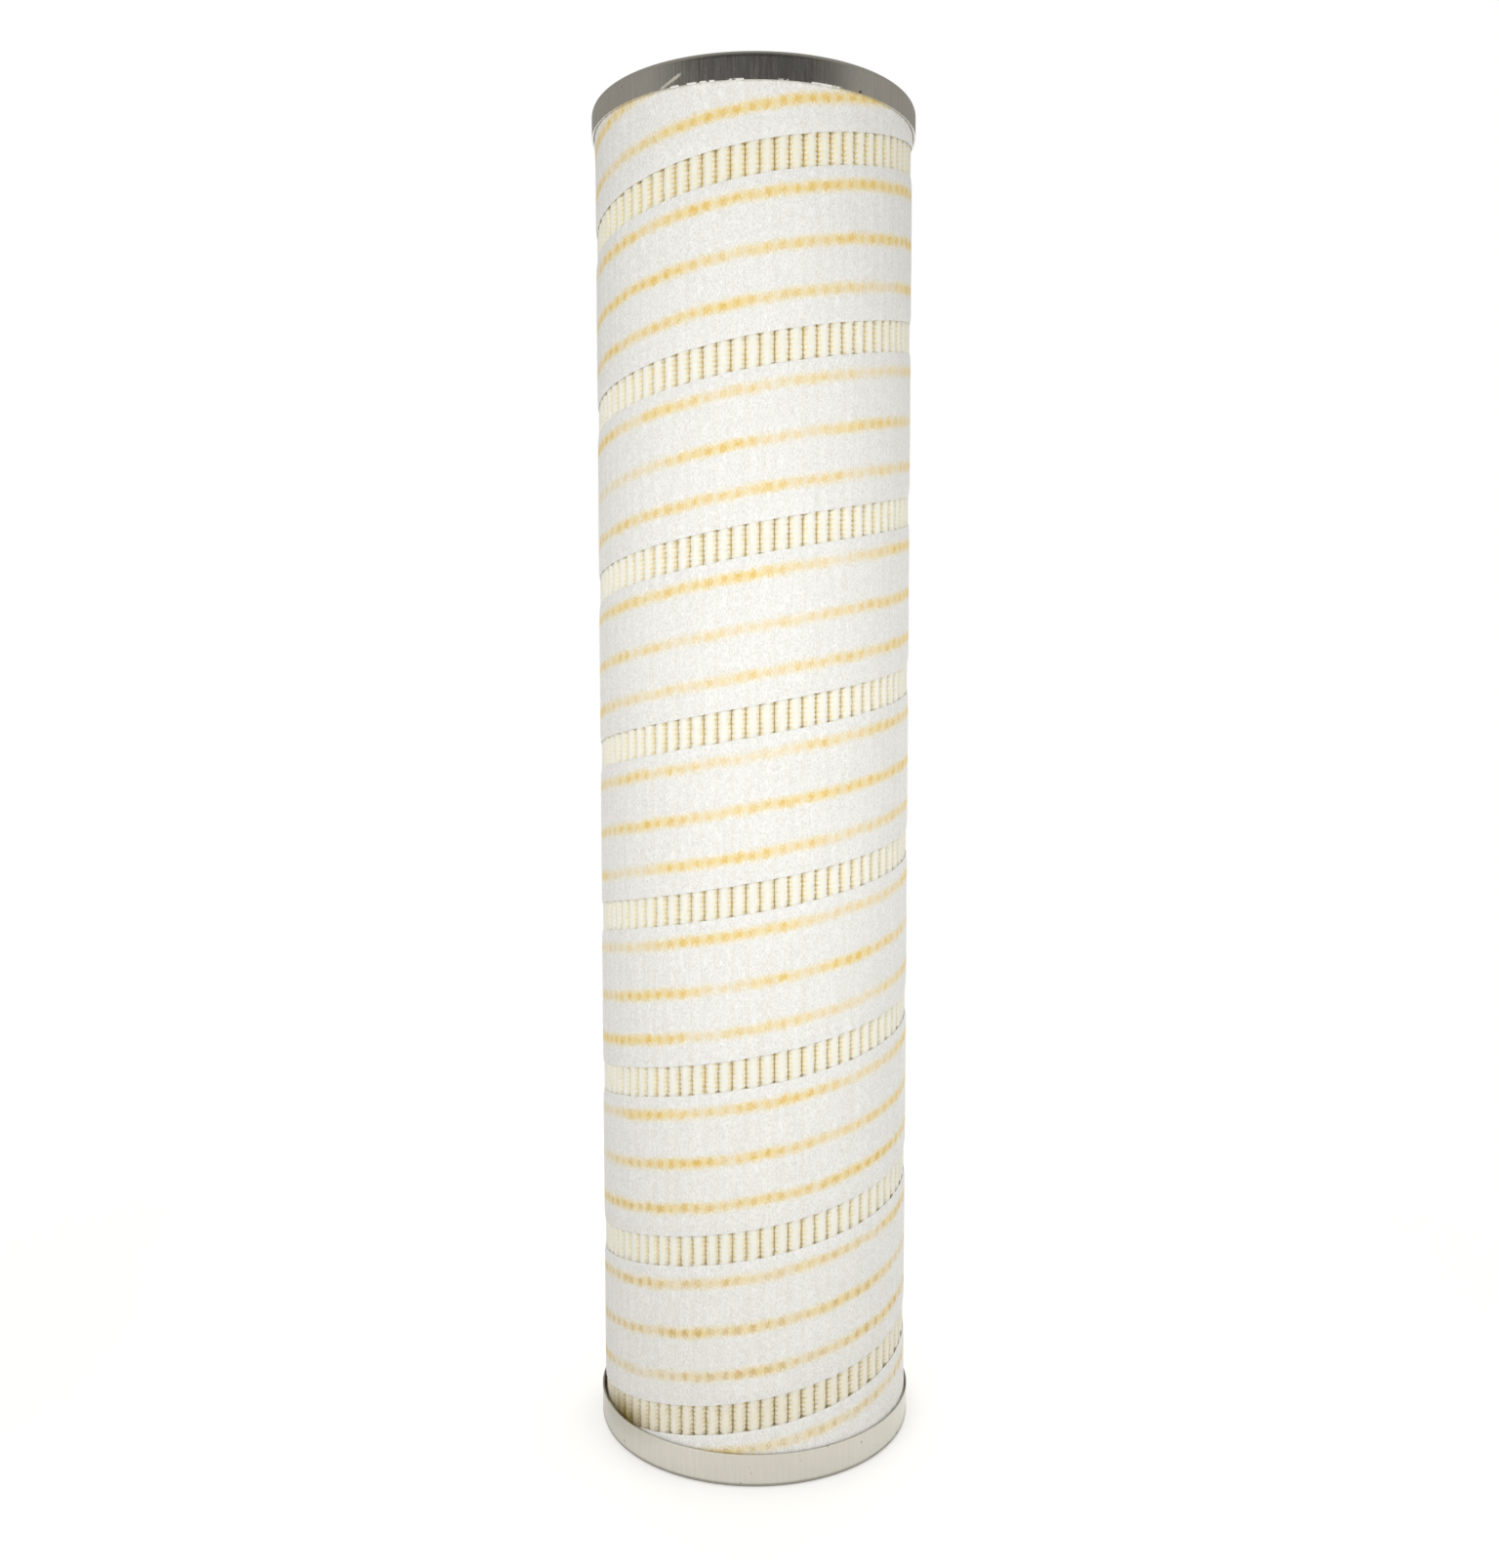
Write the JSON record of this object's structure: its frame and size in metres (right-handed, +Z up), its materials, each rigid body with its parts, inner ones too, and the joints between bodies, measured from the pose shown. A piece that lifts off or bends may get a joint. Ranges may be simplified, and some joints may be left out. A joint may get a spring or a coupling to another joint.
{
  "type": "pleated filter element",
  "caption": "Tall round filter element: folded media on a slotted core, wound with a helical fabric strip and potted into two pressed steel end caps with sealed bores.",
  "frame": {"origin": "centre of the lower end face, on the element's axis", "axes": "+Z up along the element's axis, -Y towards the front"},
  "size_m": [0.0776, 0.0776, 0.321],
  "materials": {
    "tinplate": "tin-plated sheet steel, lightly brushed",
    "core_steel": "zinc-plated sheet steel",
    "seal_rubber": "moulded nitrile rubber, matt",
    "resin": "cured amber epoxy resin",
    "media": "glass fibre between white plastic meshes",
    "wrap_fabric": "white spun-bonded polyester, slightly translucent",
    "adhesive": "amber hot-melt adhesive"
  },
  "bodies": {
    "root": {"top_end_cap": "tinplate", "bottom_end_cap": "tinplate", "top_potting": "resin", "bottom_potting": "resin", "top_bore_seal": "seal_rubber", "bottom_bore_seal": "seal_rubber", "top_seal_retainer": "core_steel", "bottom_seal_retainer": "core_steel", "core_tube": "core_steel", "pleat_pack": "media", "side_seam": "adhesive", "outer_wrap": "wrap_fabric"}
  },
  "joints": []
}
